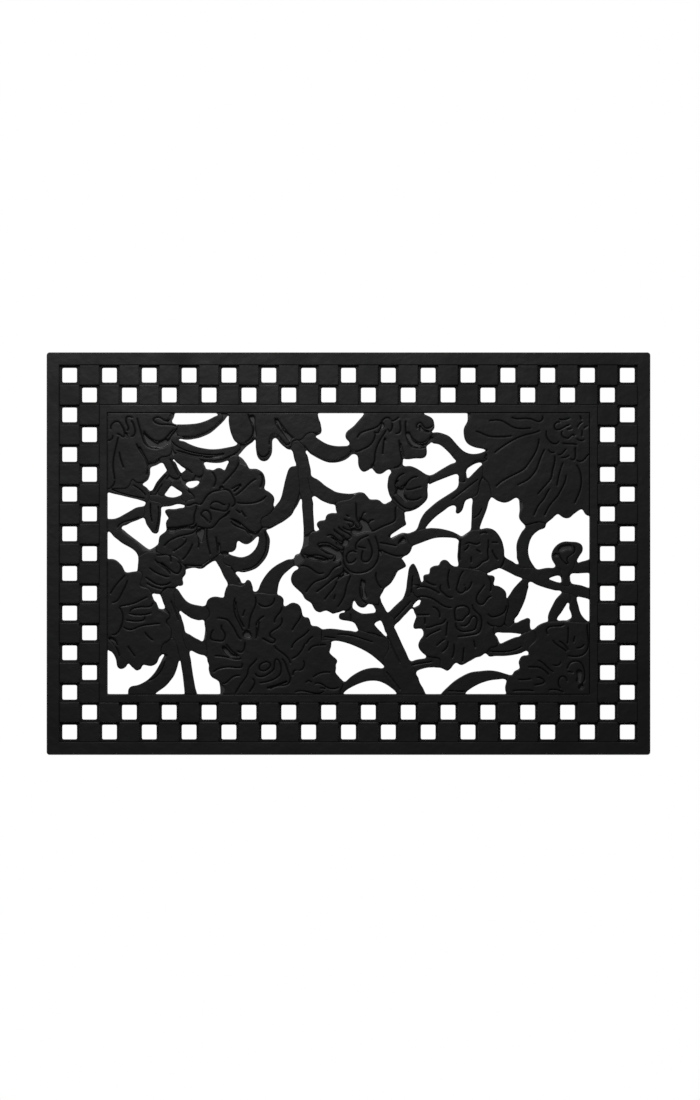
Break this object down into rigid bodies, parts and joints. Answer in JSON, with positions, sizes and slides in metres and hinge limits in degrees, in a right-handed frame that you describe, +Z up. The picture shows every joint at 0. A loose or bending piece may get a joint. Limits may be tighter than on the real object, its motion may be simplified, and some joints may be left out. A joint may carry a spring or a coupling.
{
  "type": "door mat",
  "caption": "Rectangular moulded black rubber door mat: a checkered border of open windows and raised pads round an openwork field of flowers, leaves and stems.",
  "frame": {"origin": "centre of the mat on its flat underside, where it lies on the floor", "axes": "+X along the long side, +Y across the mat towards the edge that is uppermost when the flower stems rise, +Z up out of the floor"},
  "size_m": [0.9144, 0.6096, 0.0095],
  "materials": {
    "border_rubber": "matt moulded black rubber with a fine grain",
    "relief_rubber": "matt moulded black rubber, slightly worn on the raised edges",
    "web_rubber": "smoother, slightly glossy moulded black rubber"
  },
  "bodies": {
    "root": {"bud_north_east": "relief_rubber", "bud_west": "relief_rubber", "calyx_northwest": "relief_rubber", "checker_pads": "border_rubber", "flower_centre": "relief_rubber", "flower_east": "relief_rubber", "flower_far_north_east": "relief_rubber", "flower_far_south_east": "relief_rubber", "flower_north": "relief_rubber", "flower_north_east": "relief_rubber", "flower_northwest": "relief_rubber", "flower_south_west": "relief_rubber", "flower_west": "relief_rubber", "flower_west_large": "relief_rubber", "fruit_east": "relief_rubber", "inner_frame": "border_rubber", "leaf_a": "relief_rubber", "leaf_b": "relief_rubber", "leaf_c": "relief_rubber", "leaf_e": "relief_rubber", "leaf_f": "relief_rubber", "leaf_g": "relief_rubber", "leaf_h": "relief_rubber", "leaf_i": "relief_rubber", "leaf_j": "relief_rubber", "leaf_k": "relief_rubber", "leaf_l": "relief_rubber", "leaf_m": "relief_rubber", "leaf_n": "relief_rubber", "leaf_o": "relief_rubber", "leaf_p": "relief_rubber", "leaf_q": "relief_rubber", "leaf_r": "relief_rubber", "leaf_s": "relief_rubber", "low_web": "web_rubber", "outer_rim": "border_rubber", "sepals": "relief_rubber", "spoon": "relief_rubber", "stalks": "relief_rubber", "stem_a": "relief_rubber", "stem_b": "relief_rubber", "stem_c": "relief_rubber", "stem_d": "relief_rubber", "stem_e": "relief_rubber", "stem_f": "relief_rubber", "stem_g": "relief_rubber", "stem_h": "relief_rubber", "stem_i": "relief_rubber", "stem_j": "relief_rubber", "stem_l": "relief_rubber", "stem_m": "relief_rubber", "stem_n": "relief_rubber", "stem_o": "relief_rubber", "stem_p": "relief_rubber", "stem_r": "relief_rubber", "stem_s": "relief_rubber", "stem_t": "relief_rubber", "window_ledges": "border_rubber"}
  },
  "joints": []
}
